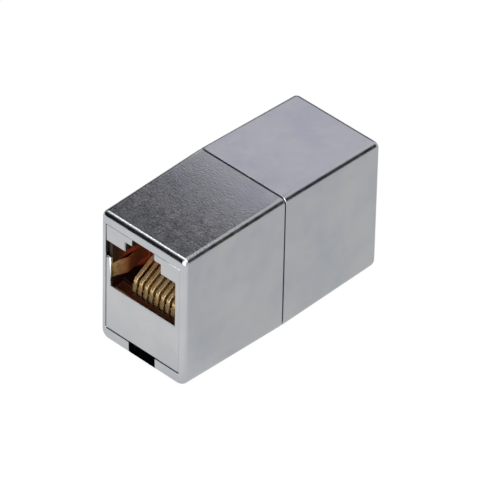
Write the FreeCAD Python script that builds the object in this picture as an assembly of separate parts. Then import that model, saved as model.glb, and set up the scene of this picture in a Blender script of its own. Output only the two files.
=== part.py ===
import FreeCAD, Part
import math
import os

Vector = FreeCAD.Vector

# Shielded RJ45 inline coupler: two equal plated half shells, pushed from both ends over
# one inner module of base tray, circuit board and two sockets.
# Millimetres. +X right and -Y out of the front socket, +Z up. Y = 0 is the seam between
# the two half shells, and Z = 0 is the lowest line of the casing. Everything of the front
# half is modelled by its depth behind the front face, and the rear half is the same
# turned half a turn about Z.

# ---- casing ----
HALF_LENGTH = 18.5
SIDE_WALL = 1.04           # beside the window, at the end face
TOP_LIP = 1.67             # over the window, at the end face
BASE_WALL = 1.15
TOP_WALL = 1.3             # over the tunnel, at the end face
SIDE_DRAFT = 0.22          # what each side, the top and the underside draw in
TOP_DRAFT = 0.47           # from the seam to the end face
BASE_DRAFT = 0.27
TOP_EDGE_RADIUS = 1.0
BOTTOM_EDGE_RADIUS = 1.5
FACE_EDGE_RADIUS = 0.85
WINDOW_EDGE_BREAK = 0.1    # small chamfer round the window
SEAM_BREAK = 0.12          # small chamfer where the two shells meet
LIP_DEPTH = 1.6            # thickness of the end wall around the socket window
NOTCH_WIDTH = 4.9          # cut in the lower lip that the tray's tab fills
TONGUE_THICKNESS = 0.5
TONGUE_LENGTH = 1.5
BEAD_RADIUS = 0.15         # snap bead on each tongue's side
BEAD_LENGTH = 11.0
RIB_WIDTH = 0.8
RIB_SPREAD = 4.6           # ceiling ribs that bear on the shields

# ---- socket opening ----
CAVITY_WIDTH = 11.9
CAVITY_HEIGHT = 7.26
CAVITY_DEPTH = 12.6
FLOOR_RISE = 7.3           # cavity floor over the panel's lower edge
LATCH_WIDTH = 6.5
LATCH_STEP = 1.55          # height of the wide latch step over the cavity
FINGER_WIDTH = 4.14        # narrow cut above it, open to the panel's top edge
FINGER_STEP = 1.17
CATCH_DEPTH = 1.6          # the plug's latch hooks behind this wall
LATCH_LENGTH = 9.5
SIDE_NOTCH_HEIGHT = 2.6

# ---- socket shield, folded from sheet ----
SIDE_STRIP = 0.85          # panel beside the cavity
SHEET = 0.35
FOLD_RADIUS = 0.18
OPENING_EDGE_BREAK = 0.12  # coined edge of the opening
SHIELD_OVERHANG = 1.0      # what it runs past the housing's back

# ---- socket housing ----
REAR_WALL = 2.0
FLOOR_THICKNESS = 0.9
SLOT_LENGTH = 2.6          # floor slots that the contacts rise through
NOSE_THICKNESS = 0.8       # plastic in front of the carrier, under the cavity
NOSE_STEP = 0.7            # front of the floor, lower so that the contacts stand clear
NOSE_LENGTH = 2.4

# ---- contacts ----
CONTACT_COUNT = 8
CONTACT_PITCH = 1.016
CONTACT_WIDTH = 0.55
CONTACT_THICKNESS = 0.3
CONTACT_FRONT = 2.0        # depth where the upright part starts
CONTACT_LEAN = 0.45        # what the upright part leans back
CONTACT_RISE = 1.15        # where the slope would start, over the cavity floor
CONTACT_SLOPE = 31.0       # degrees
TIP_LENGTH = 4.4           # flatter end of the spring, before the cavity's back
TIP_SLOPE = 8.0
TIP_BITE = 0.5             # how far a tip reaches into the rear comb
RUN_RADIUS = 0.6
FRONT_RADIUS = 0.8
KNEE_RADIUS = 1.5
TAIL_INSET = 1.1           # rear row of tails before the housing's back
TAIL_ROW_SPACING = 2.0
TAIL_LENGTH = 0.7          # what stands out under the board
GROOVE_FLOOR = 0.4         # groove floors below the carrier's top
CARRIER_EDGE = 1.27        # carrier beside the outer contacts

# ---- tray and board ----
TRAY_THICKNESS = 1.14
RAIL_WIDTH = 1.3
RAIL_HEIGHT = 1.6
BOARD_THICKNESS = 1.2
BOARD_INSET = 3.0          # board's end behind the end face
BOARD_EDGE_GAP = 0.15      # board's side to the shield's inner face
BOARD_HOLE = 0.75

# ---- ground springs ----
SPRING_THICKNESS = 0.2
SPRING_WIDTH = 2.5
SPRING_HEIGHT = 0.95       # lower edge over the cavity floor
SPRING_BULGE = 0.5         # what the crest stands out of the cavity wall
SPRING_CREST = 3.0
SPRING_END = 6.4
SPRING_FOOT = 0.9
SPRING_RADII = (0.6, 1.2, 0.8)

# ---- clearances ----
WINDOW_GAP = 0.04          # shield in the casing's window
FIT = 0.05                 # plastic in plastic or in the shield
GROOVE_FIT = 0.03          # contact in its groove
REACH = 1.0                # what a cutting block runs past the faces it cuts

# ---- widths, from the socket outwards ----
PANEL_WIDTH = CAVITY_WIDTH + 2 * SIDE_STRIP
SHIELD_INNER = PANEL_WIDTH / 2 - SHEET
HOUSING_WIDTH = 2 * (SHIELD_INNER - FIT)
TUNNEL_WIDTH = PANEL_WIDTH + 2 * WINDOW_GAP
FACE_WIDTH = TUNNEL_WIDTH + 2 * SIDE_WALL
SEAM_WIDTH = FACE_WIDTH + 2 * SIDE_DRAFT
BOARD_WIDTH = 2 * (SHIELD_INNER - BOARD_EDGE_GAP)
CARRIER_WIDTH = (CONTACT_COUNT - 1) * CONTACT_PITCH + CONTACT_WIDTH + 2 * CARRIER_EDGE

# ---- heights, from the underside upwards ----
TRAY_BOTTOM = BASE_DRAFT + BASE_WALL
TRAY_TOP = TRAY_BOTTOM + TRAY_THICKNESS
BOARD_BOTTOM = TRAY_TOP + RAIL_HEIGHT
BOARD_TOP = BOARD_BOTTOM + BOARD_THICKNESS
PANEL_BOTTOM = TRAY_TOP + WINDOW_GAP
CAVITY_FLOOR = PANEL_BOTTOM + FLOOR_RISE
CAVITY_TOP = CAVITY_FLOOR + CAVITY_HEIGHT
PANEL_TOP = CAVITY_TOP + LATCH_STEP + FINGER_STEP
HOUSING_TOP = PANEL_TOP - SHEET - FIT
POCKET_TOP = CAVITY_FLOOR - FLOOR_THICKNESS
CARRIER_TOP = POCKET_TOP - FIT
RUN_HEIGHT = CARRIER_TOP - GROOVE_FLOOR + CONTACT_THICKNESS / 2
WINDOW_TOP = PANEL_TOP + WINDOW_GAP
FACE_TOP = WINDOW_TOP + TOP_LIP
SEAM_HEIGHT = FACE_TOP + TOP_DRAFT
TUNNEL_TOP = FACE_TOP - TOP_WALL

# ---- depths behind the end face ----
HOUSING_FRONT = SHEET + FIT
HOUSING_BACK = CAVITY_DEPTH + REAR_WALL
SHIELD_LENGTH = HOUSING_BACK + SHIELD_OVERHANG
TAIL_DEPTHS = (HOUSING_BACK - TAIL_INSET, HOUSING_BACK - TAIL_INSET - TAIL_ROW_SPACING)
KNEE_DEPTH = CAVITY_DEPTH - TIP_LENGTH
SEAM_DEPTH = HALF_LENGTH


def box(x0, x1, d0, d1, z0, z1):
    """A block between two widths, two depths behind the front face and two heights."""
    corner = Vector(x0, d0 - HALF_LENGTH, z0)
    return Part.makeBox(x1 - x0, d1 - d0, z1 - z0, corner)


def centred(width, d0, d1, z0, z1):
    return box(-width / 2, width / 2, d0, d1, z0, z1)


def prism(points, run):
    """The flat outline through the points, extruded by the run vector."""
    return Part.Face(Part.makePolygon(points + points[:1])).extrude(run)


def edges_where(shape, test):
    return [edge for edge in shape.Edges if test(edge)]


def runs_along_y(edge):
    first, last = edge.Vertexes[0].Point, edge.Vertexes[-1].Point
    return abs(first.y - last.y) > 0.5 * HALF_LENGTH


def at_depth(depth):
    y = depth - HALF_LENGTH
    return lambda edge: all(abs(v.Point.y - y) < 1e-4 for v in edge.Vertexes)


def tapered_block():
    """Plan outline run upwards, common with the side outline run across: six plane faces."""
    seam, face = SEAM_WIDTH / 2, FACE_WIDTH / 2
    plan = [Vector(-seam, 0, 0), Vector(seam, 0, 0),
            Vector(face, -HALF_LENGTH, 0), Vector(-face, -HALF_LENGTH, 0)]
    side = [Vector(-seam, 0, 0), Vector(-seam, 0, SEAM_HEIGHT),
            Vector(-seam, -HALF_LENGTH, FACE_TOP), Vector(-seam, -HALF_LENGTH, BASE_DRAFT)]
    return prism(plan, Vector(0, 0, SEAM_HEIGHT)).common(prism(side, Vector(SEAM_WIDTH, 0, 0)))


def casing_body():
    """Solid tapered block of one half, with its rounded edges."""
    body = tapered_block()
    middle = SEAM_HEIGHT / 2
    top = edges_where(body, lambda e: runs_along_y(e) and e.CenterOfMass.z > middle)
    body = body.makeFillet(TOP_EDGE_RADIUS, top)
    bottom = edges_where(body, lambda e: runs_along_y(e) and e.CenterOfMass.z < BASE_DRAFT)
    body = body.makeFillet(BOTTOM_EDGE_RADIUS, bottom)
    body = body.makeChamfer(SEAM_BREAK, edges_where(body, at_depth(SEAM_DEPTH)))
    return body.makeFillet(FACE_EDGE_RADIUS, edges_where(body, at_depth(0)))


def tunnel_block(extra, y0, y1):
    """The tunnel's rectangle made larger all round by extra, between two places along Y."""
    half = TUNNEL_WIDTH / 2 + extra
    return Part.makeBox(2 * half, y1 - y0, TUNNEL_TOP - TRAY_BOTTOM + 2 * extra,
                        Vector(-half, y0, TRAY_BOTTOM - extra))


def half_ring(side, inset, thickness, y0, y1):
    """The tunnel's wall of that thickness on one side of the middle plane."""
    ring = tunnel_block(thickness, y0, y1).cut(tunnel_block(0, y0 - REACH, y1 + REACH))
    x0, x1 = sorted((side * inset, side * SEAM_WIDTH))
    keep = Part.makeBox(x1 - x0, y1 - y0, 2 * SEAM_HEIGHT, Vector(x0, y0, -SEAM_HEIGHT / 2))
    return ring.common(keep)


def snap_bead(side, radius):
    """Upright bead halfway along a tongue's outer side."""
    x = side * (TUNNEL_WIDTH / 2 + TONGUE_THICKNESS)
    low = (SEAM_HEIGHT - BEAD_LENGTH) / 2 + (BEAD_RADIUS - radius)
    length = BEAD_LENGTH + 2 * (radius - BEAD_RADIUS)
    return Part.makeCylinder(radius, length, Vector(x, -side * TONGUE_LENGTH / 2, low))


def casing_shell():
    """Half shell: end wall with its window, tunnel, ceiling ribs and lap joint."""
    shell = casing_body()
    window = centred(TUNNEL_WIDTH, -REACH, LIP_DEPTH + REACH, PANEL_BOTTOM - WINDOW_GAP, WINDOW_TOP)
    shell = shell.cut(window).cut(tunnel_block(0, LIP_DEPTH - HALF_LENGTH, REACH))
    shell = shell.cut(centred(NOTCH_WIDTH, -REACH, LIP_DEPTH + FIT, -REACH, PANEL_BOTTOM))
    for side in (-1, 1):
        x = side * RIB_SPREAD
        shell = shell.fuse(box(x - RIB_WIDTH / 2, x + RIB_WIDTH / 2, LIP_DEPTH - FIT,
                               SEAM_DEPTH - TONGUE_LENGTH - 2 * FIT, WINDOW_TOP, TUNNEL_TOP + FIT))
    shell = shell.cut(half_ring(1, 4 * FIT, TONGUE_THICKNESS + FIT, -TONGUE_LENGTH - FIT, REACH))
    shell = shell.cut(snap_bead(1, BEAD_RADIUS + FIT))
    shell = shell.fuse(half_ring(-1, 5 * FIT, TONGUE_THICKNESS, -TONGUE_LENGTH, TONGUE_LENGTH))
    shell = shell.fuse(snap_bead(-1, BEAD_RADIUS))
    rim = edges_where(shell, lambda e: at_depth(0)(e) and inside_face(e))
    return shell.makeChamfer(WINDOW_EDGE_BREAK, rim)


def inside_face(edge):
    """True for edges of the window and the notch, not for the casing's outline."""
    reach = FACE_WIDTH / 2 - FACE_EDGE_RADIUS - 0.01
    return abs(edge.CenterOfMass.x) < reach and edge.CenterOfMass.z > BASE_DRAFT + FACE_EDGE_RADIUS / 2


def opening_prism(depth, length, finger_top):
    """Socket opening run along its depth: cavity, wide latch step and narrow finger cut."""
    cavity, latch, finger = CAVITY_WIDTH / 2, LATCH_WIDTH / 2, FINGER_WIDTH / 2
    step = CAVITY_TOP + LATCH_STEP
    right = [(cavity, CAVITY_FLOOR), (cavity, CAVITY_TOP), (latch, CAVITY_TOP),
             (latch, step), (finger, step), (finger, finger_top)]
    outline = right + [(-x, z) for x, z in reversed(right)]
    return prism([Vector(x, depth - HALF_LENGTH, z) for x, z in outline], Vector(0, length, 0))


def jack_shield():
    """Folded can: front panel in the casing's window, two sides and the top."""
    can = centred(PANEL_WIDTH, 0, SHIELD_LENGTH, PANEL_BOTTOM, PANEL_TOP)
    folds = edges_where(can, lambda e: at_depth(0)(e) and e.CenterOfMass.z > PANEL_BOTTOM)
    folds += edges_where(can, lambda e: runs_along_y(e) and e.CenterOfMass.z > CAVITY_TOP)
    can = can.makeFillet(FOLD_RADIUS, folds)
    hollow = centred(2 * SHIELD_INNER, SHEET, SHIELD_LENGTH + REACH,
                     PANEL_BOTTOM - REACH, PANEL_TOP - SHEET)
    fold_depth = FOLD_RADIUS + SHEET
    finger = centred(FINGER_WIDTH, -REACH, fold_depth, CAVITY_TOP + LATCH_STEP / 2, PANEL_TOP + REACH)
    notch = box(-PANEL_WIDTH, -CAVITY_WIDTH / 2 + SHEET, -REACH, fold_depth,
                CAVITY_TOP - SIDE_NOTCH_HEIGHT, CAVITY_TOP)
    opening = opening_prism(-REACH, REACH + SHEET + FIT, PANEL_TOP + REACH)
    can = can.cut(hollow).cut(opening).cut(finger).cut(notch).removeSplitter()
    rim = PANEL_WIDTH / 2 - FOLD_RADIUS - 0.01
    edges = edges_where(can, lambda e: at_depth(0)(e) and abs(e.CenterOfMass.x) < rim
                        and CAVITY_FLOOR - 0.01 < e.CenterOfMass.z < PANEL_TOP - FOLD_RADIUS - 0.01)
    return can.makeChamfer(OPENING_EDGE_BREAK, edges)


def jack_housing():
    """Plastic socket body: cavity, latch channel, contact slots and rear comb."""
    housing = centred(HOUSING_WIDTH, HOUSING_FRONT, HOUSING_BACK, BOARD_TOP, HOUSING_TOP)
    housing = housing.cut(opening_prism(0, CATCH_DEPTH, PANEL_TOP))
    housing = housing.cut(centred(CAVITY_WIDTH, CATCH_DEPTH - FIT, CAVITY_DEPTH,
                                  CAVITY_FLOOR, CAVITY_TOP))
    housing = housing.cut(centred(LATCH_WIDTH, CATCH_DEPTH - FIT, LATCH_LENGTH,
                                  CAVITY_TOP - FIT, PANEL_TOP))
    housing = housing.cut(centred(CAVITY_WIDTH, 0, NOSE_LENGTH, CAVITY_FLOOR - NOSE_STEP, CAVITY_FLOOR + FIT))
    housing = housing.cut(centred(CARRIER_WIDTH + 2 * FIT, HOUSING_FRONT + NOSE_THICKNESS,
                                  HOUSING_BACK + REACH, BOARD_TOP - REACH, POCKET_TOP))
    slot = CONTACT_WIDTH / 2 + 2 * GROOVE_FIT
    slot_front = CONTACT_FRONT - CONTACT_THICKNESS / 2 - 2 * FIT
    tip = contact_path(0)[-1]
    for x in contact_places():
        housing = housing.cut(box(x - slot, x + slot, slot_front, slot_front + SLOT_LENGTH,
                                  POCKET_TOP - FIT, CAVITY_FLOOR + FIT))
        housing = housing.cut(box(x - slot, x + slot, CAVITY_DEPTH - FIT, tip[0] + 4 * FIT,
                                  start_height() + CONTACT_THICKNESS, tip[1] + CONTACT_THICKNESS))
    low = CAVITY_FLOOR + SPRING_HEIGHT - FIT
    back = SPRING_END + SPRING_FOOT + 2 * FIT
    for side in (-1, 1):
        x0, x1 = sorted((side * (CAVITY_WIDTH / 2 - FIT), side * PANEL_WIDTH / 2))
        housing = housing.cut(box(x0, x1, 0, back, low, low + SPRING_WIDTH + 2 * FIT))
    return housing.removeSplitter()


def contact_places():
    first = -(CONTACT_COUNT - 1) / 2 * CONTACT_PITCH
    return [first + i * CONTACT_PITCH for i in range(CONTACT_COUNT)]


def start_height():
    """Height where a contact's upright part and its slope would meet."""
    return CAVITY_FLOOR + CONTACT_RISE


def contact_path(row):
    """Corners of a contact's centre line, as depth and height, from its tail to its tip."""
    tail = TAIL_DEPTHS[row]
    start = start_height()
    start_depth = CONTACT_FRONT + CONTACT_LEAN
    knee = start + (KNEE_DEPTH - start_depth) * math.tan(math.radians(CONTACT_SLOPE))
    tip_depth = CAVITY_DEPTH + TIP_BITE
    tip = knee + (tip_depth - KNEE_DEPTH) * math.tan(math.radians(TIP_SLOPE))
    return [(tail, BOARD_BOTTOM - TAIL_LENGTH), (tail, RUN_HEIGHT), (CONTACT_FRONT, RUN_HEIGHT),
            (start_depth, start), (KNEE_DEPTH, knee), (tip_depth, tip)]


def strip_side(points, radii, offset):
    """One side of a bent strip: its runs and tangent arcs, at an offset from the centre line."""
    steps = []
    begin = None
    for i in range(1, len(points)):
        along = (points[i] - points[i - 1]).normalize()
        across = Vector(-along.y, along.x, 0) * offset
        if begin is None:
            begin = points[0] + across
        if i == len(points) - 1:
            steps.append((begin, points[i] + across))
            break
        after = (points[i + 1] - points[i]).normalize()
        turn = math.acos(along.dot(after))
        radius = radii[i - 1]
        reach = radius * math.tan(turn / 2)
        inward = (after - along).normalize()
        centre = points[i] + inward * (radius / math.cos(turn / 2))
        end = points[i] - along * reach + across
        leave = points[i] + after * reach + Vector(-after.y, after.x, 0) * offset
        steps += [(begin, end), (end, centre - inward * (end - centre).Length, leave)]
        begin = leave
    return steps


def strip_face(corners, radii, thickness, place):
    """Face between the two sides of a bent strip, put in space by place(a, b)."""
    points = [Vector(a, b, 0) for a, b in corners]
    left = strip_side(points, radii, thickness / 2)
    right = [tuple(reversed(step)) for step in reversed(strip_side(points, radii, -thickness / 2))]
    path = left + [(left[-1][-1], right[0][0])] + right + [(right[-1][-1], left[0][0])]
    edges = []
    for step in path:
        ends = [place(point.x, point.y) for point in step]
        curve = Part.Arc(*ends) if len(ends) == 3 else Part.LineSegment(*ends)
        edges.append(curve.toShape())
    return Part.Face(Part.Wire(edges))


def contact_strip(x, row, extra=0.0):
    """One contact, or with extra clearance the channel that it lies in."""
    radii = (RUN_RADIUS, RUN_RADIUS, FRONT_RADIUS, KNEE_RADIUS)
    width = CONTACT_WIDTH + 2 * extra

    def place(depth, height):
        return Vector(x - width / 2, depth - HALF_LENGTH, height)
    face = strip_face(contact_path(row), radii, CONTACT_THICKNESS + 2 * extra, place)
    return face.extrude(Vector(width, 0, 0))


def contact_carrier():
    """Comb block under the cavity, with a groove and a tail hole for every contact."""
    carrier = centred(CARRIER_WIDTH, CONTACT_FRONT + RUN_RADIUS, HOUSING_BACK, BOARD_TOP, CARRIER_TOP)
    groove = CONTACT_WIDTH / 2 + GROOVE_FIT
    low = RUN_HEIGHT - CONTACT_THICKNESS / 2
    for i, x in enumerate(contact_places()):
        tail = TAIL_DEPTHS[i % 2]
        bend = tail - RUN_RADIUS
        back = tail + CONTACT_THICKNESS / 2 + GROOVE_FIT
        carrier = carrier.cut(box(x - groove, x + groove, 0, bend, low, CARRIER_TOP + REACH))
        carrier = carrier.cut(box(x - groove, x + groove, bend, back, RUN_HEIGHT, CARRIER_TOP + REACH))
        carrier = carrier.cut(contact_strip(x, i % 2, GROOVE_FIT))
    return carrier


def ground_spring(side):
    """Leaf spring on a cavity wall: both feet on the shield, crest inside the cavity."""
    foot = SHIELD_INNER - SPRING_THICKNESS / 2
    crest = CAVITY_WIDTH / 2 - SPRING_BULGE + SPRING_THICKNESS / 2
    first = HOUSING_FRONT + FIT
    last = SPRING_END + SPRING_FOOT
    corners = [(first, foot), (first + SPRING_FOOT / 2, foot), (SPRING_CREST, crest),
               (SPRING_END, foot), (last, foot)]

    def place(depth, x):
        return Vector(side * x, depth - HALF_LENGTH, CAVITY_FLOOR + SPRING_HEIGHT)
    face = strip_face(corners, SPRING_RADII, SPRING_THICKNESS, place)
    return face.extrude(Vector(0, 0, SPRING_WIDTH))


def turned(shape):
    """The same piece in the other half: half a turn about Z."""
    copy = shape.copy()
    copy.rotate(Vector(0, 0, 0), Vector(0, 0, 1), 180)
    return copy


def base_tray():
    """Plastic tray along both halves, with board rails and a tab in each lower lip."""
    front = LIP_DEPTH + FIT
    half = centred(TUNNEL_WIDTH - 2 * FIT, front, SEAM_DEPTH, TRAY_BOTTOM, TRAY_TOP)
    tab = centred(NOTCH_WIDTH - 2 * FIT, 0, front, 0, TRAY_TOP).common(casing_body())
    for side in (-1, 1):
        outer = side * BOARD_WIDTH / 2
        x0, x1 = sorted((outer, outer - side * RAIL_WIDTH))
        half = half.fuse(box(x0, x1, BOARD_INSET, SEAM_DEPTH, TRAY_TOP, BOARD_BOTTOM))
    half = half.fuse(tab)
    return half.fuse(turned(half)).removeSplitter()


def circuit_board():
    """Board between the two sockets, with a plated hole for every tail."""
    half = centred(BOARD_WIDTH, BOARD_INSET, SEAM_DEPTH, BOARD_BOTTOM, BOARD_TOP)
    for i, x in enumerate(contact_places()):
        place = Vector(x, TAIL_DEPTHS[i % 2] - HALF_LENGTH, BOARD_BOTTOM - REACH)
        half = half.cut(Part.makeCylinder(BOARD_HOLE / 2, BOARD_THICKNESS + 2 * REACH, place))
    return half.fuse(turned(half)).removeSplitter()


def write(name, shape):
    shape.exportStep("parts/" + name + ".step")


def write_pair(name, shape):
    write("front_" + name, shape)
    write("rear_" + name, turned(shape))


os.makedirs("parts", exist_ok=True)
write("base_tray", base_tray())
write("circuit_board", circuit_board())
write_pair("shell", casing_shell())
write_pair("jack_shield", jack_shield())
write_pair("jack_housing", jack_housing())
write_pair("contact_carrier", contact_carrier())
write_pair("ground_spring_left", ground_spring(-1))
write_pair("ground_spring_right", ground_spring(1))
for i, x in enumerate(contact_places()):
    write_pair("contact_%d" % (i + 1), contact_strip(x, i % 2))
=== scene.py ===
import math

import bmesh
import bpy
import numpy as np
from mathutils import Matrix, Vector

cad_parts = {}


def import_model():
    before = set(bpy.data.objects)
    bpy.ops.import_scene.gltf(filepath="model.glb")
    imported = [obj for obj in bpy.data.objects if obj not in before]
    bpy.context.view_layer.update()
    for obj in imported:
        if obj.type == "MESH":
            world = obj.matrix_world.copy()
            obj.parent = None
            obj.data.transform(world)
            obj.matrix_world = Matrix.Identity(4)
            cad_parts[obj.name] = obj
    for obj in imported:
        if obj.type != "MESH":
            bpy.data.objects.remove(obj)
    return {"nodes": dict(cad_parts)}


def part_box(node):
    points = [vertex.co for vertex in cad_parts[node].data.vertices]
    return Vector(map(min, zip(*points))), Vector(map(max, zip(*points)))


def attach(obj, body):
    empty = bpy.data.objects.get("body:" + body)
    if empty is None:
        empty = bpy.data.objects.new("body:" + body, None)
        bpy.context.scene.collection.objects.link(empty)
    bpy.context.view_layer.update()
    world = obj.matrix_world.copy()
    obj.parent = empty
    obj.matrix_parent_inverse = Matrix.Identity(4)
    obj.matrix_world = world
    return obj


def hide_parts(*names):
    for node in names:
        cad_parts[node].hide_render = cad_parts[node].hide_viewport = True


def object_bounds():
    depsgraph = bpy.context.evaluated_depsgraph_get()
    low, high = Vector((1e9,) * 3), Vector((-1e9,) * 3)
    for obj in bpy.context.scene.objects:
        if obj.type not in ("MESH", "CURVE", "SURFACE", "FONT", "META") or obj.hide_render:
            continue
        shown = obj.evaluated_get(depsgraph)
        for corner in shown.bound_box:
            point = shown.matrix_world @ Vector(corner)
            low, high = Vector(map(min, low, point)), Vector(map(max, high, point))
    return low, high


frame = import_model()
cad_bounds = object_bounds()

# Looks of the shielded inline coupler. Sizes are in millimetres up to the stage, and become metres
# in put_mesh. +X right and -Y out of the front socket, +Z up, the seam of the two half shells at
# Y = 0. Each half is worked out by depth behind the front face, and the rear half is the same
# turned half a turn about Z.
MM = 0.001


def node_box(node):
    """Lowest and highest corner of a CAD node, in millimetres."""
    low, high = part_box(node)
    return np.array(low) / MM, np.array(high) / MM


SHELL_LOW, SHELL_HIGH = node_box("front_shell")
PANEL_LOW, PANEL_HIGH = node_box("front_jack_shield")
SPRING_LOW, SPRING_HIGH = node_box("front_ground_spring_right")
CARRIER_TOP = node_box("front_contact_carrier")[1][2]
BOARD_UNDERSIDE = node_box("circuit_board")[0][2]

# ---- casing ----
HALF_LENGTH = -SHELL_LOW[1]
SEAM_HALF = SHELL_HIGH[0]
SEAM_HEIGHT = SHELL_HIGH[2]
SIDE_DRAFT = 0.22
TOP_DRAFT = 0.47
BASE_DRAFT = 0.27
TOP_EDGE_RADIUS = 1.0
BOTTOM_EDGE_RADIUS = 1.5
FACE_EDGE_RADIUS = 0.85
RIM_RADIUS, SIDE_RIM = 0.2, 0.06        # window rim's round: inwards and below, beside and above
INNER_CORNER_RADIUS = 0.12
SEAM_RADIUS = 0.12                      # round of each half where they meet
SEAM_GROOVE, SEAM_GAP = 0.4, 0.125      # shadow line between the rounds: depth, half its width
LIP_DEPTH = 1.6
NOTCH_WIDTH = 4.9
FIT = 0.05
WINDOW_GAP = 0.04
WINDOW_HALF = PANEL_HIGH[0] + WINDOW_GAP
WINDOW_LOW = PANEL_LOW[2] - WINDOW_GAP
WINDOW_HIGH = PANEL_HIGH[2] + WINDOW_GAP
PANEL_PLAY, PANEL_LIFT = 0.035, 0.035   # shield's play to the right and upwards in its window
RIM_DROP = 0.15                         # window's lower rim under the gap's lower edge
TUNNEL_DROP, TUNNEL_RISE = 1.14, 0.37   # tunnel under and over the window
TUNNEL_LOW = WINDOW_LOW - TUNNEL_DROP
TUNNEL_HIGH = WINDOW_HIGH + TUNNEL_RISE
RIB_INNER, RIB_OUTER = 4.2, 5.0         # ceiling rib, from the middle plane
RIB_END = 1.6                           # rib's end before the seam
TONGUE_THICKNESS, RECESS_THICKNESS = 0.5, 0.55
TONGUE_LENGTH, RECESS_LENGTH = 1.5, 1.55
TONGUE_START, RECESS_START = 0.25, 0.2  # lap joint, from the middle plane
STRAIGHT_START = 3.0                    # depth of the first plain row behind the lip
RIM_ROWS, FACE_ROWS, STRAIGHT_ROWS, SEAM_ROWS = 7, 15, 7, 6
SHELL_CREASE, PIECE_CREASE = 35, 40     # degrees over which an edge is sharp

FOLD_RADIUS, CRISP_RADIUS = 0.18, 0.04  # shield's folds as drawn, and over the panel
EASED_EDGE, EASED_STEPS = 0.06, 2       # on the moulded pieces
SLACK = 0.01                            # for points on the edge of a region
WELD, SLIVER = 0.002, 0.0005            # shells: points joined, edges dropped
COPY_WELD, FLAT_ANGLE = 0.001, 0.5      # CAD copies: points joined, degrees that count as flat

# ---- contacts and ground springs ----
CONTACT_COUNT = 8
CONTACT_PITCH = 1.016
CONTACT_WIDTH = 0.55
CONTACT_THICKNESS = 0.3
CONTACT_EDGE = 0.07
CONTACT_RADII = (0.6, 0.6, 0.8, 1.5)
CONTACT_FRONT, CONTACT_START = 2.0, 2.45  # depths of the upright part's foot and head
CONTACT_SLOPE, TIP_SLOPE = 31.0, 8.0    # degrees
KNEE_DEPTH, TIP_DEPTH = 8.2, 13.1
TAIL_DEPTHS = (13.5, 11.5)
TAIL_LENGTH, TAIL_TAPER = 0.7, 0.6      # under the board, and its end's share of the width
FLOOR_RISE = 7.3
CAVITY_FLOOR = PANEL_LOW[2] + FLOOR_RISE
CONTACT_RISE = 1.15
RUN_DROP = 0.25                         # run's middle under the carrier's top
RUN_HEIGHT = CARRIER_TOP - RUN_DROP
SPRING_THICKNESS, SPRING_EDGE = 0.2, 0.05
SPRING_RADII = (0.6, 1.2, 0.8)
SPRING_FLAT, SPRING_CREST, SPRING_FOOT = 0.45, 3.0, 0.9  # front flat, crest's depth, rear foot
CREST_OVERSHOOT = 0.06                  # of the line's corner past the rounded crest
BEND_STEP, EDGE_STEPS = 6.0, 3          # degrees between a bend's points, steps round an edge

FRONT, REAR = 1, -1


# ---- meshes ----

def linked(name, data):
    """New object in the scene that shows the data."""
    piece = bpy.data.objects.new(name, data)
    bpy.context.scene.collection.objects.link(piece)
    return piece


def mesh_object(name, points, faces):
    """New object from points in metres and faces of their numbers."""
    mesh = bpy.data.meshes.new(name)
    mesh.from_pydata(points, [], faces)
    mesh.update()
    return linked(name, mesh)


def put_mesh(name, points, faces, end):
    """New piece from points in millimetres of the front half: the rear end turns them about Z."""
    points = np.asarray(points, float) * MM
    points[:, :2] *= end
    return mesh_object(name, points.tolist(), faces)


def grid_faces(rows, columns, closed_rows):
    """Quads of a grid whose columns run round; closed_rows joins the last row to the first."""
    last = rows if closed_rows else rows - 1
    i, j = np.meshgrid(np.arange(last), np.arange(columns), indexing="ij")
    i2, j2 = (i + 1) % rows, (j + 1) % columns
    return np.stack([i * columns + j, i2 * columns + j, i2 * columns + j2, i * columns + j2], -1)


def worked(piece, *steps):
    """Runs bmesh steps on the piece's mesh, each a function of the work mesh."""
    work = bmesh.new()
    work.from_mesh(piece.data)
    for step in steps:
        step(work)
    work.to_mesh(piece.data)
    work.free()


def merge(piece):
    """Joins doubled points and drops the faces that vanish with them."""
    worked(piece,
           lambda work: bmesh.ops.remove_doubles(work, verts=work.verts, dist=WELD * MM),
           lambda work: bmesh.ops.dissolve_degenerate(work, edges=work.edges, dist=SLIVER * MM))


def even_shading(piece, angle):
    """Smooth faces, edges sharp over the angle in degrees, and flat faces flat to their rounds."""
    piece.data.shade_smooth()
    piece.data.set_sharp_from_angle(angle=math.radians(angle))
    weighted = piece.modifiers.new("even_faces", "WEIGHTED_NORMAL")
    weighted.keep_sharp = True


# ---- casing shells ----

def lap_stops():
    """Widths where a column of points crosses the top and the underside, with the side of the lap
    joint that each belongs to. A width given twice is a step."""
    widths = [-RIB_OUTER, -RIB_OUTER, -RIB_INNER, -RIB_INNER, -NOTCH_WIDTH / 2, -TONGUE_START,
              -TONGUE_START, RECESS_START, RECESS_START, NOTCH_WIDTH / 2, RIB_INNER, RIB_INNER,
              RIB_OUTER, RIB_OUTER]
    sides = [-1] * 6 + [0] * 2 + [1] * 6
    return np.array(widths, float), np.array(sides, float)


STOPS, STOP_SIDES = lap_stops()
RIB_STOPS = (1, 2, 11, 12)              # stops at the ribs' lower corners
CORNER_STEPS = 12
SIDE_STEPS = 6


def arc(centre, radius, start):
    """Quarter circle: centre + radius * (cos a, sin a), a from start to start + 90 degrees."""
    a = np.radians(start) + np.linspace(0, np.pi / 2, CORNER_STEPS + 1)
    return np.column_stack([centre[0] + radius * np.cos(a), centre[1] + radius * np.sin(a)])


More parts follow.
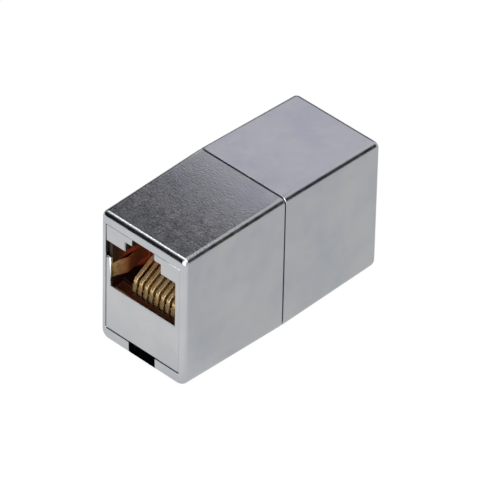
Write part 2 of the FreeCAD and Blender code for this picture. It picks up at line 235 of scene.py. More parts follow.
def section(half, low, high, low_radius, high_radius, rib=None):
    """Rounded rectangle round the casing, as (x, z): straight stretches with fixed stops, and a
    quarter circle at each corner. With rib, the top's rib stops hang down to that height."""
    level = np.full(len(STOPS), float(high))
    if rib is not None:
        level[list(RIB_STOPS)] = rib
    bottom = np.column_stack([STOPS, np.full(len(STOPS), low)])
    top = np.column_stack([STOPS, level])[::-1]
    rise = np.linspace(low + low_radius, high - high_radius, SIDE_STEPS + 1)[1:-1]
    right = np.column_stack([np.full(len(rise), half), rise])
    left = right[::-1] * (-1, 1)
    return np.vstack([
        bottom, arc((half - low_radius, low + low_radius), low_radius, -90),
        right, arc((half - high_radius, high - high_radius), high_radius, 0),
        top, arc((high_radius - half, high - high_radius), high_radius, 90),
        left, arc((low_radius - half, low + low_radius), low_radius, 180)])


def column_sides():
    """Which side of the lap joint each column belongs to: -1 tongue, 1 recess, 0 between them."""
    corner = np.ones(CORNER_STEPS + 1)
    side = np.ones(SIDE_STEPS - 1)
    return np.concatenate([STOP_SIDES, corner, side, corner,
                           STOP_SIDES[::-1], -corner, -side, -corner])


def skin(depth, inset=0.0):
    """Outer section at a depth: the drafts widen it in a straight line from the end face to the
    seam, and inset draws it in by a rolling round."""
    part = depth / HALF_LENGTH
    half = SEAM_HALF - SIDE_DRAFT * (1 - part) - inset
    low = BASE_DRAFT * (1 - part) + inset
    high = SEAM_HEIGHT - TOP_DRAFT * (1 - part) - inset
    return section(half, low, high, BOTTOM_EDGE_RADIUS - inset, TOP_EDGE_RADIUS - inset)


def tunnel(out=0.0, rib=None):
    """Section of the tunnel, made larger all round by out."""
    radius = INNER_CORNER_RADIUS + out
    return section(WINDOW_HALF + out, TUNNEL_LOW - out, TUNNEL_HIGH + out, radius, radius, rib)


def window(turn=math.pi / 2):
    """Window's section where its rim's round has turned by an angle: the lower rim is rounded more
    than the others, and lies lower than the shield needs."""
    out, drop = ((1 - math.sin(turn)) * r for r in (SIDE_RIM, RIM_RADIUS))
    radius = INNER_CORNER_RADIUS + out
    outline = section(WINDOW_HALF + out, WINDOW_LOW - RIM_DROP - drop,
                      WINDOW_HIGH - PANEL_LIFT + out, radius, radius)
    return outline - (PANEL_PLAY, 0)


def shell_rows():
    """Rows of a half shell as (section, depth), from the tunnel at the seam forwards through the
    window, over the end face and back along the outside: a closed ring of sections."""
    side = column_sides()
    seam_depth = HALF_LENGTH - SEAM_GAP
    past_seam = np.select([side < 0, side > 0], [TONGUE_LENGTH, -RECESS_LENGTH], 0.0)
    depth_at_lap = HALF_LENGTH + past_seam
    outer_lap = np.where(side[:, None] > 0, tunnel(RECESS_THICKNESS), tunnel(TONGUE_THICKNESS))
    rows = [(tunnel(), HALF_LENGTH - RIB_END), (tunnel(rib=WINDOW_HIGH), HALF_LENGTH - RIB_END)]
    rows += [(tunnel(rib=WINDOW_HIGH), LIP_DEPTH + FIT), (tunnel(rib=WINDOW_HIGH), LIP_DEPTH)]
    rows += [(window(), LIP_DEPTH)]
    for a in np.radians(np.linspace(90, 0, RIM_ROWS)):
        rows.append((window(a), RIM_RADIUS * (1 - math.cos(a))))
    for a in np.radians(np.linspace(0, 90, FACE_ROWS)):
        depth = FACE_EDGE_RADIUS * (1 - math.cos(a))
        rows.append((skin(depth, FACE_EDGE_RADIUS * (1 - math.sin(a))), depth))
    straight = np.linspace(STRAIGHT_START, seam_depth - SEAM_RADIUS, STRAIGHT_ROWS)
    for depth in np.concatenate([[LIP_DEPTH + FIT], straight]):
        rows.append((skin(depth), depth))
    for a in np.radians(np.linspace(0, 90, SEAM_ROWS + 1)[1:]):
        depth = seam_depth - SEAM_RADIUS * (1 - math.sin(a))
        rows.append((skin(depth, SEAM_RADIUS * (1 - math.cos(a))), depth))
    groove = skin(seam_depth, SEAM_RADIUS + SEAM_GROOVE)
    rows += [(groove, seam_depth), (groove, HALF_LENGTH)]
    rows += [(outer_lap, HALF_LENGTH), (outer_lap, depth_at_lap), (tunnel(), depth_at_lap)]
    return rows


def half_shell(name, end):
    """Casing half: point (row, column) is (x, depth - half length, z) of the row's section. The
    notch in the lower lip is left out of the grid, and plane walls close it."""
    rows = shell_rows()
    columns = len(rows[0][0])
    points = np.empty((len(rows), columns, 3))
    for i, (outline, depth) in enumerate(rows):
        points[i, :, 0] = outline[:, 0]
        points[i, :, 1] = depth - HALF_LENGTH
        points[i, :, 2] = outline[:, 1]
    left, right = np.flatnonzero(np.isclose(np.abs(STOPS), NOTCH_WIDTH / 2)).tolist()
    notch_end = LIP_DEPTH + FIT - HALF_LENGTH
    first, last = np.flatnonzero(np.isclose(points[:, left, 1], notch_end)).tolist()
    quads = grid_faces(len(rows), columns, True)
    keep = np.ones(quads.shape[:2], bool)
    keep[first:last, left:right] = False
    faces = quads[keep].tolist()
    walk = np.arange(first, last + 1) * columns
    across = np.arange(left, right + 1)
    faces.append((walk + left).tolist())
    faces.append((walk + right)[::-1].tolist())
    faces.append((last * columns + across).tolist() + (first * columns + across)[::-1].tolist())
    piece = put_mesh(name, points.reshape(-1, 3), faces, end)
    merge(piece)
    even_shading(piece, SHELL_CREASE)
    return piece


# ---- bent strips ----

def bent_line(corners, radii):
    """Line through the corners with a tangent arc at each inner one. Returns its points and the
    unit normals on its left, both in the strip's own plane."""
    corners = np.asarray(corners, float)
    points, headings = [corners[0]], []
    runs = np.diff(corners, axis=0)
    angles = np.unwrap(np.arctan2(runs[:, 1], runs[:, 0]))
    headings.append(angles[0])
    for k, radius in enumerate(radii):
        turn = angles[k + 1] - angles[k]
        along = np.array([math.cos(angles[k]), math.sin(angles[k])])
        left = np.array([-along[1], along[0]]) * np.sign(turn)
        start = corners[k + 1] - along * radius * math.tan(abs(turn) / 2)
        centre = start + left * radius
        a = np.linspace(0, 1, max(3, int(abs(turn) / math.radians(BEND_STEP)) + 1))
        swing = angles[k] + turn * a
        sideways = np.column_stack([-np.sin(swing), np.cos(swing)]) * np.sign(turn)
        points.extend(centre - sideways * radius)
        headings.extend(swing)
    points.append(corners[-1])
    headings.append(angles[-1])
    headings = np.array(headings)
    return np.array(points), np.column_stack([-np.sin(headings), np.cos(headings)])


def strip_section(width, thickness, radius):
    """Rounded rectangle of the strip's cross-section as (across, through) points."""
    a = np.radians(np.linspace(0, 90, EDGE_STEPS + 1))
    corners = []
    for quarter, (sx, sy) in enumerate(((1, 1), (-1, 1), (-1, -1), (1, -1))):
        turn = a + quarter * np.pi / 2
        corners.append(np.column_stack([sx * (width / 2 - radius) + radius * np.cos(turn),
                                        sy * (thickness / 2 - radius) + radius * np.sin(turn)]))
    return np.vstack(corners)


def bent_strip(name, line, normals, outline, place, end, start_width=1.0):
    """Cross-section carried along a flat line: point = line + through * normal, moved across by
    the section's width, of which the line's start gets a share. place turns (a, b, across) arrays
    of the line's plane into x, y, z."""
    share = np.ones(len(line))
    share[0] = start_width
    across = outline[None, :, 0] * share[:, None]
    a = line[:, None, 0] + outline[None, :, 1] * normals[:, None, 0]
    b = line[:, None, 1] + outline[None, :, 1] * normals[:, None, 1]
    points = np.stack(place(a, b, across), -1)
    rows, columns = points.shape[:2]
    faces = grid_faces(rows, columns, False).reshape(-1, 4).tolist()
    faces.append(list(range(columns)))
    faces.append(list(range((rows - 1) * columns, rows * columns))[::-1])
    piece = put_mesh(name, points.reshape(-1, 3), faces, end)
    worked(piece, lambda work: bmesh.ops.recalc_face_normals(work, faces=work.faces))
    even_shading(piece, PIECE_CREASE)
    return piece


def contact(name, index, end):
    """Socket contact: tail, run in the carrier, upright part, slope and flatter tip."""
    x = (index - (CONTACT_COUNT - 1) / 2) * CONTACT_PITCH
    tail = TAIL_DEPTHS[index % 2]
    start = CAVITY_FLOOR + CONTACT_RISE
    knee = start + (KNEE_DEPTH - CONTACT_START) * math.tan(math.radians(CONTACT_SLOPE))
    tip = knee + (TIP_DEPTH - KNEE_DEPTH) * math.tan(math.radians(TIP_SLOPE))
    corners = [(tail, BOARD_UNDERSIDE - TAIL_LENGTH), (tail, RUN_HEIGHT),
               (CONTACT_FRONT, RUN_HEIGHT), (CONTACT_START, start), (KNEE_DEPTH, knee),
               (TIP_DEPTH, tip)]
    line, normals = bent_line(corners, CONTACT_RADII)
    outline = strip_section(CONTACT_WIDTH, CONTACT_THICKNESS, CONTACT_EDGE)

    def place(depth, height, across):
        return x + across, depth - HALF_LENGTH, height

    return bent_strip(name, line, normals, outline, place, end, TAIL_TAPER)


def ground_spring(name, side, end):
    """Leaf spring on a cavity wall, with its crest inside the cavity."""
    foot = SPRING_HIGH[0] - SPRING_THICKNESS / 2
    crest = SPRING_LOW[0] + SPRING_THICKNESS / 2
    first, last = SPRING_LOW[1] + HALF_LENGTH, SPRING_HIGH[1] + HALF_LENGTH
    corners = [(first, foot), (first + SPRING_FLAT, foot), (SPRING_CREST, crest - CREST_OVERSHOOT),
               (last - SPRING_FOOT, foot), (last, foot)]
    line, normals = bent_line(corners, SPRING_RADII)
    outline = strip_section(SPRING_HIGH[2] - SPRING_LOW[2], SPRING_THICKNESS, SPRING_EDGE)
    middle = (SPRING_HIGH[2] + SPRING_LOW[2]) / 2

    def place(depth, out, across):
        return side * out, depth - HALF_LENGTH, middle + across

    return bent_strip(name, line, normals, outline, place, end)


# ---- pieces that keep the CAD shape ----

def eased_copy(node, name, width=0, reshape=None):
    """Merged copy of a CAD node, its sharp edges eased by width. reshape may move its points
    first."""
    piece = linked(name, frame["nodes"][node].data.copy())
    if reshape:
        points = np.empty(3 * len(piece.data.vertices))
        piece.data.vertices.foreach_get("co", points)
        piece.data.vertices.foreach_set("co", reshape(points.reshape(-1, 3) / MM).ravel() * MM)
    worked(piece,
           lambda work: bmesh.ops.remove_doubles(work, verts=work.verts, dist=COPY_WELD * MM),
           lambda work: bmesh.ops.dissolve_limit(work, verts=work.verts, edges=work.edges,
                                                 angle_limit=math.radians(FLAT_ANGLE)))
    if width:
        ease = piece.modifiers.new("eased_edges", "BEVEL")
        ease.width = width * MM
        ease.segments = EASED_STEPS
        ease.limit_method = "ANGLE"
        ease.angle_limit = math.radians(PIECE_CREASE)
        ease.use_clamp_overlap = True
    even_shading(piece, PIECE_CREASE)
    return piece


def crisp_top_fold(points):
    """Draws the round over the panel in to a small one: point = corner + (point - corner) * ratio,
    for that round's points alone."""
    ratio = CRISP_RADIUS / FOLD_RADIUS
    front = HALF_LENGTH * np.sign(points[:, 1])
    under, behind = PANEL_HIGH[2] - points[:, 2], np.abs(front - points[:, 1])
    inside = (under < FOLD_RADIUS + SLACK) & (behind < FOLD_RADIUS + SLACK)
    inside &= np.abs(points[:, 0]) < PANEL_HIGH[0] - FOLD_RADIUS + SLACK
    points[inside, 2] = PANEL_HIGH[2] - under[inside] * ratio
    points[inside, 1] = (front - np.sign(front) * behind * ratio)[inside]
    return points


# ---- materials ----

# Where a finish, its painted shade or its painted light changes, in millimetres. Those of the
# socket plastic are over the cavity's floor.
WORN_FADE = (-16.0, -5.0)               # casing: along Y, worn to plain
WORN_START, WORN_FULL = 0.7, 0.5        # casing: under the height at the seam
SHIELD_SHADE_DEPTH = (0.3, 0.4)               # shield: plating to the painted shade inside it
FOOT_SHADE_BAND = (-1.0, 2.0)                 # span of the painted shade at the walls' foot
AMBER_LIGHT_BAND = (-0.6, -0.3)               # lower step to the floor between the contacts, painted shade to painted amber light
AMBER_LIGHT_SIDE = (3.9, 4.3)                 # from the middle plane, painted amber light back to the painted shade at the walls' foot
# painted shade at the cavity's ceiling, over the floor
CEILING_SHADE_BAND = (6.2, 7.0)
# painted shade in the mouth's corners, by depth behind the end face
MOUTH_SHADE_DEPTH = (1.4, 4.2)
SHADOW_RISE, SHADOW_DEPTH = (0.0, 4.0), (0.0, 12.0)  # height and depth that count alike
SHADOW_EDGE = (0.53, 0.63)               # of their sum, where the walls' colour takes over from the painted shadow
RED_REFLECTION_DEPTH = (0.7, 2.9)               # ground springs: gold to a painted red reflection
GLOSS_SWING = 0.06                      # of roughness, to both sides
PLASTIC_CLOUDS, PLASTIC_GLOSS, PLASTIC_GRAIN = 2.5, 0.8, 0.12  # sizes on moulded plastic


def material(name):
    """New material with its node tree, its shader and object coordinates."""
    made = bpy.data.materials.new(name)
    made.use_nodes = True
    tree = made.node_tree
    shader = tree.nodes["Principled BSDF"]
    place = tree.nodes.new("ShaderNodeTexCoord").outputs["Object"]
    return made, tree, shader, place


def stretched(tree, place, scale):
    """Object coordinates times a scale for each axis."""
    mapping = tree.nodes.new("ShaderNodeMapping")
    mapping.inputs["Scale"].default_value = scale
    tree.links.new(place, mapping.inputs["Vector"])
    return mapping.outputs["Vector"]


def noise(tree, place, size, detail=3.0):
    """Cloudy noise whose features are about size millimetres across, 0 to 1."""
    node = tree.nodes.new("ShaderNodeTexNoise")
    node.inputs["Scale"].default_value = 1 / (size * MM)
    node.inputs["Detail"].default_value = detail
    tree.links.new(place, node.inputs["Vector"])
    return node.outputs["Fac"]


def spread(tree, value, low, high, start=0.3, stop=0.7):
    """Value from start..stop mapped to low..high."""
    node = tree.nodes.new("ShaderNodeMapRange")
    node.inputs["From Min"].default_value = start
    node.inputs["From Max"].default_value = stop
    node.inputs["To Min"].default_value = low
    node.inputs["To Max"].default_value = high
    tree.links.new(value, node.inputs["Value"])
    return node.outputs["Result"]


def colours(tree, value, *stops):
    """Colour ramp of (position, (r, g, b)) stops read at value."""
    node = tree.nodes.new("ShaderNodeValToRGB")
    ramp = node.color_ramp
    while len(ramp.elements) < len(stops):
        ramp.elements.new(0.5)
    for element, (position, colour) in zip(ramp.elements, stops):
        element.position = position
        element.color = (*colour, 1)
    tree.links.new(value, node.inputs["Fac"])
    return node.outputs["Color"]


def relief(tree, shader, *layers):
    """Stacked bumps, each (height, depth in millimetres), under the shader's normal."""
    normal = None
    for height, depth in layers:
        bump = tree.nodes.new("ShaderNodeBump")
        bump.inputs["Strength"].default_value = 1.0
        bump.inputs["Distance"].default_value = depth * MM
        tree.links.new(height, bump.inputs["Height"])
        if normal is not None:
            tree.links.new(normal, bump.inputs["Normal"])
        normal = bump.outputs["Normal"]
    tree.links.new(normal, shader.inputs["Normal"])


def math_node(tree, operation, first, second=0.0):
    """Result of a math node on two values, each a socket or a plain number."""
    node = tree.nodes.new("ShaderNodeMath")
    node.operation = operation
    for socket, value in zip(node.inputs, (first, second)):
        if isinstance(value, float):
            socket.default_value = value
        else:
            tree.links.new(value, socket)
    return node.outputs[0]


def axis_share(tree, place, axis, low, high, both_sides=False):
    """Place on an axis in millimetres, or its distance from zero, from low..high to 0..1."""
    axes = tree.nodes.new("ShaderNodeSeparateXYZ")
    tree.links.new(place, axes.inputs[0])
    value = axes.outputs[axis]
    if both_sides:
        value = math_node(tree, "ABSOLUTE", value)
    return spread(tree, value, 0, 1, low * MM, high * MM)


def height_share(tree, place, low, high):
    """Height over the base, in millimetres, from low..high to 0..1."""
    return axis_share(tree, place, "Z", low, high)


def depth_share(tree, place, low, high):
    """Depth behind the nearer end face, in millimetres, from low..high to 0..1."""
    return axis_share(tree, place, "Y", HALF_LENGTH - low, HALF_LENGTH - high, both_sides=True)


def mixed(tree, share, first, second):
    """Colour that goes from the first to the second as share goes from 0 to 1."""
    node = tree.nodes.new("ShaderNodeMix")
    node.data_type = "RGBA"
    tree.links.new(share, node.inputs["Factor"])
    tree.links.new(first, node.inputs["A"])
    tree.links.new(second, node.inputs["B"])
    return node.outputs["Result"]


def dulled(tree, shader, value, rough):
    """Roughness that varies a little with the value."""
    tree.links.new(spread(tree, value, rough - GLOSS_SWING, rough + GLOSS_SWING),
                   shader.inputs["Roughness"])


def plated_casing():
    """Satin nickel on a die casting: orange peel, faint cloudy patches, fine pits, and a worn
    speckle on top towards the front end."""
    made, tree, shader, place = material("plated_casing")
    shader.inputs["Metallic"].default_value = 1.0
    colour = colours(tree, noise(tree, place, 5.0), (0.3, (0.535, 0.562, 0.608)),
                     (0.52, (0.585, 0.60, 0.62)), (0.75, (0.62, 0.627, 0.64)))
    speckle = colours(tree, noise(tree, place, 0.3, 1.0), (0.36, (0.47, 0.48, 0.51)),
                      (0.64, (0.71, 0.72, 0.76)))
    worn = mixed(tree, axis_share(tree, place, "Y", *WORN_FADE), speckle, colour)
    on_top = height_share(tree, place, SEAM_HEIGHT - WORN_START, SEAM_HEIGHT - WORN_FULL)
    tree.links.new(mixed(tree, on_top, colour, worn), shader.inputs["Base Color"])
    tree.links.new(spread(tree, noise(tree, place, 1.2), 0.16, 0.24), shader.inputs["Roughness"])
    relief(tree, shader, (noise(tree, place, 2.4, 1.0), 0.005),
           (noise(tree, place, 0.36, 2.0), 0.008), (noise(tree, place, 0.2, 1.0), 0.008))
    return made


def shield_sheet():
    """Plated sheet with a faint rolling grain across the panel, dull inside the casing and nearly
    black there with painted shade.
    """
    made, tree, shader, place = material("shield_sheet")
    shader.inputs["Metallic"].default_value = 1.0
    grain = noise(tree, stretched(tree, place, (1, 1, 0.12)), 0.12, 2.0)
    clouds = noise(tree, place, 4.0, 2.0)
    plating = colours(tree, clouds, (0.3, (0.56, 0.57, 0.59)), (0.7, (0.61, 0.61, 0.62)))
    # painted shade: nearly black inside the casing
    inside = colours(tree, clouds, (0.3, (0.010, 0.006, 0.004)), (0.7, (0.018, 0.011, 0.008)))
    tree.links.new(mixed(tree, depth_share(tree, place, *SHIELD_SHADE_DEPTH), plating, inside),
                   shader.inputs["Base Color"])
    tree.links.new(spread(tree, grain, 0.2, 0.28), shader.inputs["Roughness"])
    relief(tree, shader, (grain, 0.0008), (noise(tree, place, 1.4, 1.0), 0.008))
    return made


def cloudy(tree, clouds, dark, light):
    """Plastic's colour between dark and light, as the clouds say."""
    return colours(tree, clouds, (0.35, dark), (0.7, light))


def moulded_surface(tree, shader, place, rough, grain):
    """Uneven gloss and spark-eroded grain of moulded plastic."""
    dulled(tree, shader, noise(tree, place, PLASTIC_GLOSS), rough)
    relief(tree, shader, (noise(tree, place, PLASTIC_GRAIN, 2.0), grain))


def moulded(name, dark, light, rough, grain, specular=0.5):
    """Moulded plastic in one cloudy colour."""
    made, tree, shader, place = material(name)
    shader.inputs["Specular IOR Level"].default_value = specular
    tree.links.new(cloudy(tree, noise(tree, place, PLASTIC_CLOUDS), dark, light),
                   shader.inputs["Base Color"])
    moulded_surface(tree, shader, place, rough, grain)
    return made


def socket_plastic():
    """Brown-red moulded plastic, red on the cavity's walls. Painted shade makes it darker at the
    ceiling, dark red-brown on the lower step in front of the contacts and dark in the mouth's
    corners, and a painted shadow nearly black at the walls' foot, with an edge that falls off with
    depth. Painted light makes it amber on the floor between the contacts."""
    made, tree, shader, place = material("socket_plastic")
    shader.inputs["Specular IOR Level"].default_value = 0.2
    clouds = noise(tree, place, PLASTIC_CLOUDS)

    def over_floor(low, high):
        return height_share(tree, place, CAVITY_FLOOR + low, CAVITY_FLOOR + high)

    wall = cloudy(tree, clouds, (0.22, 0.030, 0.013), (0.33, 0.055, 0.021))
    # painted shade: darker at the ceiling
    ceiling = cloudy(tree, clouds, (0.07, 0.018, 0.008), (0.11, 0.030, 0.012))
    # painted shade: dark in the mouth's corners
    mouth = cloudy(tree, clouds, (0.018, 0.008, 0.004), (0.035, 0.015, 0.007))
    # painted light: amber on the floor between the contacts, which lies in shade
    amber = cloudy(tree, clouds, (0.30, 0.15, 0.05), (0.42, 0.23, 0.09))
    # painted shade: dark red-brown on the lower step, nearly black at the walls' foot
    foot = colours(tree, over_floor(*FOOT_SHADE_BAND),
                   (0.0, (0.045, 0.012, 0.006)), (0.14, (0.050, 0.014, 0.007)),
                   (0.22, (0.010, 0.003, 0.002)), (0.62, (0.014, 0.004, 0.002)))
    between = mixed(tree, over_floor(*AMBER_LIGHT_BAND), foot, amber)
    lower = mixed(tree, axis_share(tree, place, "X", *AMBER_LIGHT_SIDE, both_sides=True), between, foot)
    inner = mixed(tree, over_floor(*CEILING_SHADE_BAND), wall, ceiling)
    upper = mixed(tree, depth_share(tree, place, *MOUTH_SHADE_DEPTH), mouth, inner)
    # painted shadow: the foot's colours lie under an edge that falls off with depth
    rise = math_node(tree, "ADD", over_floor(*SHADOW_RISE), depth_share(tree, place, *SHADOW_DEPTH))
    tree.links.new(mixed(tree, spread(tree, rise, 0, 1, *SHADOW_EDGE), lower, upper),
                   shader.inputs["Base Color"])
    moulded_surface(tree, shader, place, rough=0.3, grain=0.003)
    return made


def gilt(name, dark, light, rough, metallic, painted_red=None):
    """Gold flash over bronze, dulled a little, with drawing marks along the strip. Where a red is
    given, that red takes over further in as a painted red reflection."""
    made, tree, shader, place = material(name)
    shader.inputs["Metallic"].default_value = metallic
    clouds = noise(tree, place, 0.9)
    colour = colours(tree, clouds, (0.3, dark), (0.7, light))
    if painted_red:
        # painted reflection: red further in
        red = colours(tree, clouds, (0.3, painted_red), (0.7, tuple(1.4 * c for c in painted_red)))
        colour = mixed(tree, depth_share(tree, place, *RED_REFLECTION_DEPTH), colour, red)
    tree.links.new(colour, shader.inputs["Base Color"])
    marks = noise(tree, stretched(tree, place, (1, 0.1, 0.1)), 0.05, 2.0)
    dulled(tree, shader, marks, rough)
    relief(tree, shader, (marks, 0.001))
    return made


def board_laminate():
    """Green lacquer over a woven laminate."""
    made, tree, shader, place = material("board_laminate")
    weave = noise(tree, stretched(tree, place, (1, 0.3, 1)), 0.3, 2.0)
    tree.links.new(colours(tree, weave, (0.3, (0.004, 0.05, 0.02)), (0.7, (0.01, 0.10, 0.045))),
                   shader.inputs["Base Color"])
    tree.links.new(spread(tree, weave, 0.3, 0.45), shader.inputs["Roughness"])
    relief(tree, shader, (weave, 0.004))
    return made


FINISHES = {
    "plated_casing": plated_casing(),
    "shield_sheet": shield_sheet(),
    "socket_plastic": socket_plastic(),
    "carrier_plastic": moulded("carrier_plastic", (0.16, 0.075, 0.028), (0.24, 0.12, 0.05),
                               rough=0.42, grain=0.004),
    "tray_plastic": moulded("tray_plastic", (0.0004, 0.0006, 0.0005), (0.001, 0.0014, 0.0012),
                            rough=0.6, grain=0.005, specular=0.0),
    "board_laminate": board_laminate(),
    "contact_gilt": gilt("contact_gilt", (0.82, 0.54, 0.22), (0.98, 0.74, 0.40),
                         rough=0.28, metallic=0.75),
    # the ground springs' gold gives way to a painted red reflection further in
    "spring_gilt": gilt("spring_gilt", (0.24, 0.15, 0.055), (0.62, 0.46, 0.22),
                        rough=0.36, metallic=0.4, painted_red=(0.23, 0.070, 0.024)),
}


# ---- pieces in place ----

def place_piece(piece, slot, node):
    """Gives a new piece its finish and body, in the place of its CAD node."""
    piece.data.materials.clear()
    piece.data.materials.append(FINISHES[slot])
    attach(piece, "root")
    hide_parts(node)


for prefix, end in (("front_", FRONT), ("rear_", REAR)):
    place_piece(half_shell(prefix + "casing_half", end), "plated_casing", prefix + "shell")
    place_piece(eased_copy(prefix + "jack_shield", prefix + "folded_shield",
                           reshape=crisp_top_fold), "shield_sheet", prefix + "jack_shield")
    place_piece(eased_copy(prefix + "jack_housing", prefix + "socket_body", EASED_EDGE),
                "socket_plastic", prefix + "jack_housing")
    place_piece(eased_copy(prefix + "contact_carrier", prefix + "comb_block"), "carrier_plastic",
                prefix + "contact_carrier")
    for side, word in ((-1, "left"), (1, "right")):
        place_piece(ground_spring(prefix + "leaf_spring_" + word, side, end), "spring_gilt",
                    prefix + "ground_spring_" + word)
    for index in range(CONTACT_COUNT):
        number = str(index + 1)
        place_piece(contact(prefix + "gold_contact_" + number, index, end), "contact_gilt",
                    prefix + "contact_" + number)
place_piece(eased_copy("base_tray", "black_tray", EASED_EDGE), "tray_plastic", "base_tray")
place_piece(eased_copy("circuit_board", "green_board"), "board_laminate", "circuit_board")


# ---- stage ----

CAMERA_AZIMUTH, CAMERA_ELEVATION, CAMERA_ROLL = 43.6022, 38.4172, 1.2407  # degrees
CAMERA_DISTANCE = 808.88                # millimetres, as is the aim
CAMERA_AIM = (-0.1043, 0.0, 10.6813)
SENSOR_WIDTH, LENS = 36.0, 455.5        # millimetres

# The rest is in metres.
VIEW_END = 20.0
FLOOR_SIZE = 6.0
FLOOR_WHITE = 0.93                      # what its shadows are drawn on
FLOOR_SEEN = 1.03                       # level that a camera ray sees
FLOOR_MIRRORED = (0.86, 0.61)           # levels that a glossy ray sees, front and rear
FLOOR_FADE = (-0.026, -0.008)           # where the first gives way to the second
FLOOR_WAY = (0.1, 0.995, 0)
FLOOR_SHARE = 0.92                      # of those levels, the rest is lit by the lamps
CARD_WAY = (0.17, 0.985, 0)
CARD_DISTANCE = 0.050
CARD_LEFT, CARD_RIGHT = 0.12, 0.010     # reach to each side
CARD_LOW, CARD_HIGH = 0.044, 0.1015
CARD_COLOUR, CARD_LEVEL = (0.95, 0.925, 1.015), 0.71
SOFTBOXES = (                           # name, place, size, radiance, point it faces or None
    ("left_softbox", (-0.147, 0.040, 0.442), (0.378, 0.14), 1.7, None),
    ("right_softbox", (0.250, -0.115, 0.472), (0.360, 0.450), 2.0, None),
    ("front_softbox", (0.165, -0.385, 0.195), (0.35, 0.35), 3.4, (0, -0.016, 0.013)),
)
ROOM_LEVEL = 0.6
DARK_ZONES = (                          # way, level in its middle, cosines where it fades in
    ((-0.61, -0.79, 0), 0.015, 0.45, 0.62),         # front left
    ((0.657, 0.567, 0.497), 0.04, 0.90, 0.955),     # high in the back right
    ((-0.56, 0.575, 0.60), 0.12, 0.9135, 0.961),    # high in the back left
    ((-0.78, 0.62, 0.1), 0.1, 0.86, 0.93),          # low in the back left
)


def camera():
    """Camera that looks at its aim from its azimuth and elevation, with a little roll."""
    azimuth, elevation, roll = (math.radians(v) for v in
                                (CAMERA_AZIMUTH, CAMERA_ELEVATION, CAMERA_ROLL))
    back = Vector((math.sin(azimuth) * math.cos(elevation),
                   -math.cos(azimuth) * math.cos(elevation), math.sin(elevation)))
    level = Vector((0, 0, 1)).cross(back).normalized()
    upright = back.cross(level)
    right = math.cos(roll) * level + math.sin(roll) * upright
    up = math.cos(roll) * upright - math.sin(roll) * level
    data = bpy.data.cameras.new("camera")
    data.sensor_width = SENSOR_WIDTH
    data.lens = LENS
    data.clip_end = VIEW_END
    view = linked("camera", data)
    place = (Vector(CAMERA_AIM) + CAMERA_DISTANCE * back) * MM
    turn = Matrix((right, up, back)).transposed().to_4x4()
    view.matrix_world = Matrix.Translation(place) @ turn
    bpy.context.scene.camera = view


def plane(name, corners, surface):
    """Flat piece of the stage with its material."""
    piece = mesh_object(name, corners, [(0, 1, 2, 3)])
    piece.data.materials.append(surface)
    return piece


def bare_material(name):
    """New material with its node tree and the socket for its surface."""
    made = bpy.data.materials.new(name)
    made.use_nodes = True
    tree = made.node_tree
    tree.nodes.clear()
    return made, tree, tree.nodes.new("ShaderNodeOutputMaterial").inputs["Surface"]


def dot(tree, vector, way):
    """Length of the vector along a fixed way."""
    node = tree.nodes.new("ShaderNodeVectorMath")
    node.operation = "DOT_PRODUCT"
    node.inputs[1].default_value = way
    tree.links.new(vector, node.inputs[0])
    return node.outputs["Value"]


def floor_white():
    """Pale surface that a camera ray sees at a plain white, and a glossy ray at a level that falls
    from the front to the rear. What FLOOR_SHARE leaves over keeps the shadows."""
    made, tree, surface = bare_material("floor_white")
    diffuse = tree.nodes.new("ShaderNodeBsdfDiffuse")
    diffuse.inputs["Color"].default_value = (FLOOR_WHITE, FLOOR_WHITE, FLOOR_WHITE, 1)
    rays = tree.nodes.new("ShaderNodeLightPath").outputs
    place = tree.nodes.new("ShaderNodeTexCoord").outputs["Object"]
    level = tree.nodes.new("ShaderNodeMix")
    level.data_type = "FLOAT"
    level.inputs["A"].default_value = FLOOR_SEEN
    mirrored = spread(tree, dot(tree, place, FLOOR_WAY), *FLOOR_MIRRORED, *FLOOR_FADE)
    tree.links.new(mirrored, level.inputs["B"])
    tree.links.new(rays["Is Glossy Ray"], level.inputs["Factor"])
    white = tree.nodes.new("ShaderNodeEmission")
    tree.links.new(level.outputs["Result"], white.inputs["Strength"])
    clear = math_node(tree, "MAXIMUM", rays["Is Camera Ray"], rays["Is Transmission Ray"])
    seen = math_node(tree, "MAXIMUM", clear, rays["Is Glossy Ray"])
    blend = tree.nodes.new("ShaderNodeMixShader")
    tree.links.new(math_node(tree, "MULTIPLY", seen, FLOOR_SHARE), blend.inputs["Fac"])
    tree.links.new(diffuse.outputs[0], blend.inputs[1])
    tree.links.new(white.outputs[0], blend.inputs[2])
    tree.links.new(blend.outputs[0], surface)
    return made


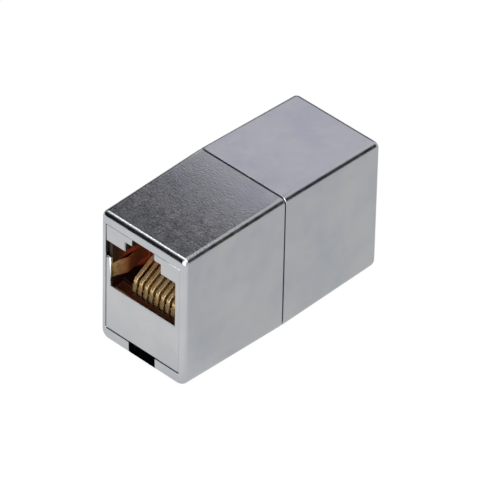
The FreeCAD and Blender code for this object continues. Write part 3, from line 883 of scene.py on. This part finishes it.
def card_white():
    """Even glow of the card's colour."""
    made, tree, surface = bare_material("card_white")
    light = tree.nodes.new("ShaderNodeEmission")
    light.inputs["Color"].default_value = (*CARD_COLOUR, 1)
    light.inputs["Strength"].default_value = CARD_LEVEL
    tree.links.new(light.outputs[0], surface)
    return made


def softbox(name, place, size, radiance, aim):
    """Softbox with the power that gives its face that radiance. It faces down, or to its aim."""
    data = bpy.data.lights.new(name, "AREA")
    data.shape = "RECTANGLE"
    data.size, data.size_y = size
    data.energy = radiance * math.pi * size[0] * size[1]
    box = linked(name, data)
    box.location = place
    if aim:
        box.rotation_euler = (box.location - Vector(aim)).to_track_quat("Z", "Y").to_euler()
    box.visible_camera = False


def stage():
    """Floor, softboxes, and a card behind the rear end, which the top mirrors up to its edge."""
    floor_z = cad_bounds[0][2]
    half = FLOOR_SIZE / 2
    plane("floor", [(-half, -half, floor_z), (half, -half, floor_z), (half, half, floor_z),
                    (-half, half, floor_z)], floor_white())
    away = Vector(CARD_WAY).normalized()
    across = Vector((-away.y, away.x, 0))
    left = away * CARD_DISTANCE + across * CARD_LEFT
    right = away * CARD_DISTANCE - across * CARD_RIGHT
    card = plane("card", [(*left.xy, CARD_LOW), (*right.xy, CARD_LOW), (*right.xy, CARD_HIGH),
                          (*left.xy, CARD_HIGH)], card_white())
    card.visible_camera = False
    card.visible_diffuse = False
    card.visible_shadow = False
    for lamp in SOFTBOXES:
        softbox(*lamp)


def world():
    """Pale room whose level is ROOM_LEVEL times, for each dark zone, a fade from 1 to the zone's
    own level as the view turns towards the zone's middle."""
    made = bpy.data.worlds.new("room")
    bpy.context.scene.world = made
    made.use_nodes = True
    tree = made.node_tree
    background = tree.nodes["Background"]
    view = tree.nodes.new("ShaderNodeTexCoord").outputs["Generated"]
    level = ROOM_LEVEL
    for way, dark, start, stop in DARK_ZONES:
        zone = spread(tree, dot(tree, view, way), 1.0, dark, start, stop)
        level = math_node(tree, "MULTIPLY", zone, level)
    tree.links.new(level, background.inputs["Strength"])
    background.inputs["Color"].default_value = (1, 1, 1, 1)


camera()
stage()
world()
bpy.context.scene.view_settings.view_transform = "Standard"
